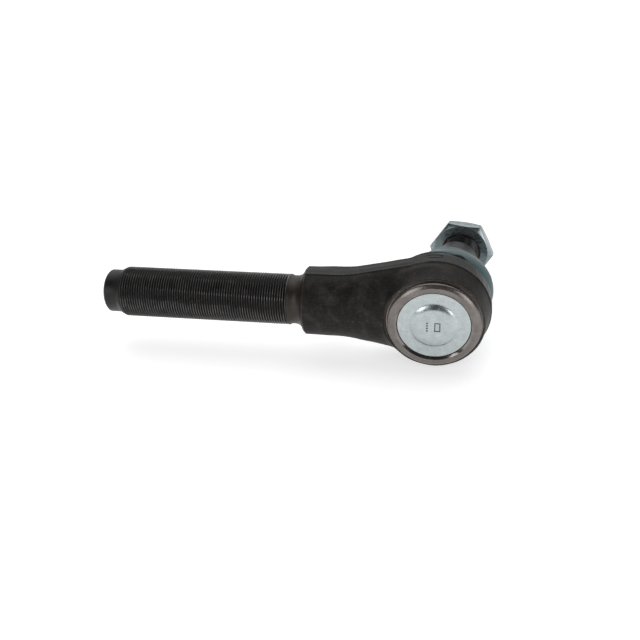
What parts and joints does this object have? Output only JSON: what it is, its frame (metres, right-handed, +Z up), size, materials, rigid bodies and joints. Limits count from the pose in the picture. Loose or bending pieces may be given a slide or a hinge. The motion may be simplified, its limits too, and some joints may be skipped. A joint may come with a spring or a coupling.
{
  "type": "tie rod end",
  "caption": "Forged steering ball joint: male threaded shank, ball stud with taper and self-locking nut, dust boot and rolled-in end cap.",
  "frame": {"origin": "centre of the ball, where the head's axis, the shank's axis and the stud's axis meet", "axes": "the shank runs along -X, the head's axis lies along Y with the end cap towards -Y and the stud towards +Y, and +Z is up; the part lies on its side on the head's barrel"},
  "size_m": [0.2301, 0.1219, 0.0624],
  "materials": {
    "forged_housing": "phosphated forging, matt",
    "bearing_seat": "moulded acetal",
    "spring_steel": "blued spring steel",
    "seal_rubber": "matt",
    "zinc_cap": "zinc plated, satin",
    "ring_wire": "drawn wire, satin",
    "boot_rubber": "moulded rubber, satin",
    "stud_steel": "oiled dark steel",
    "zinc_nut": "zinc plated, bright"
  },
  "bodies": {
    "housing_body": {"housing": "forged_housing", "upper_bearing_seat": "bearing_seat", "lower_bearing_seat": "bearing_seat", "disc_spring": "spring_steel", "cap_seal_ring": "seal_rubber", "end_cap": "zinc_cap", "boot_clamp_ring": "ring_wire"},
    "boot_body": {"dust_boot": "boot_rubber"},
    "collar_body": {"boot_collar_ring": "ring_wire"},
    "stud_body": {"ball_stud": "stud_steel"},
    "nut_body": {"lock_nut": "zinc_nut"}
  },
  "joints": [
    {"name": "stud_swing", "type": "hinge", "parent": "housing_body", "child": "boot_body", "pos_m": [0, 0, 0], "axis": [0, 1, 0], "continuous": true},
    {"name": "stud_tilt", "type": "hinge", "parent": "boot_body", "child": "collar_body", "pos_m": [0, 0, 0], "axis": [-0.3907, 0, -0.9205], "range_deg": [-8.7, 11.3], "deforming": ["dust_boot"]},
    {"name": "stud_spin", "type": "hinge", "parent": "collar_body", "child": "stud_body", "pos_m": [0, 0, 0], "axis": [0.1392, 0.9885, -0.0591], "continuous": true},
    {"name": "nut_travel", "type": "slide", "parent": "stud_body", "child": "nut_body", "axis": [0.1392, 0.9885, -0.0591], "range_m": [-0.012, 0.018]}
  ]
}
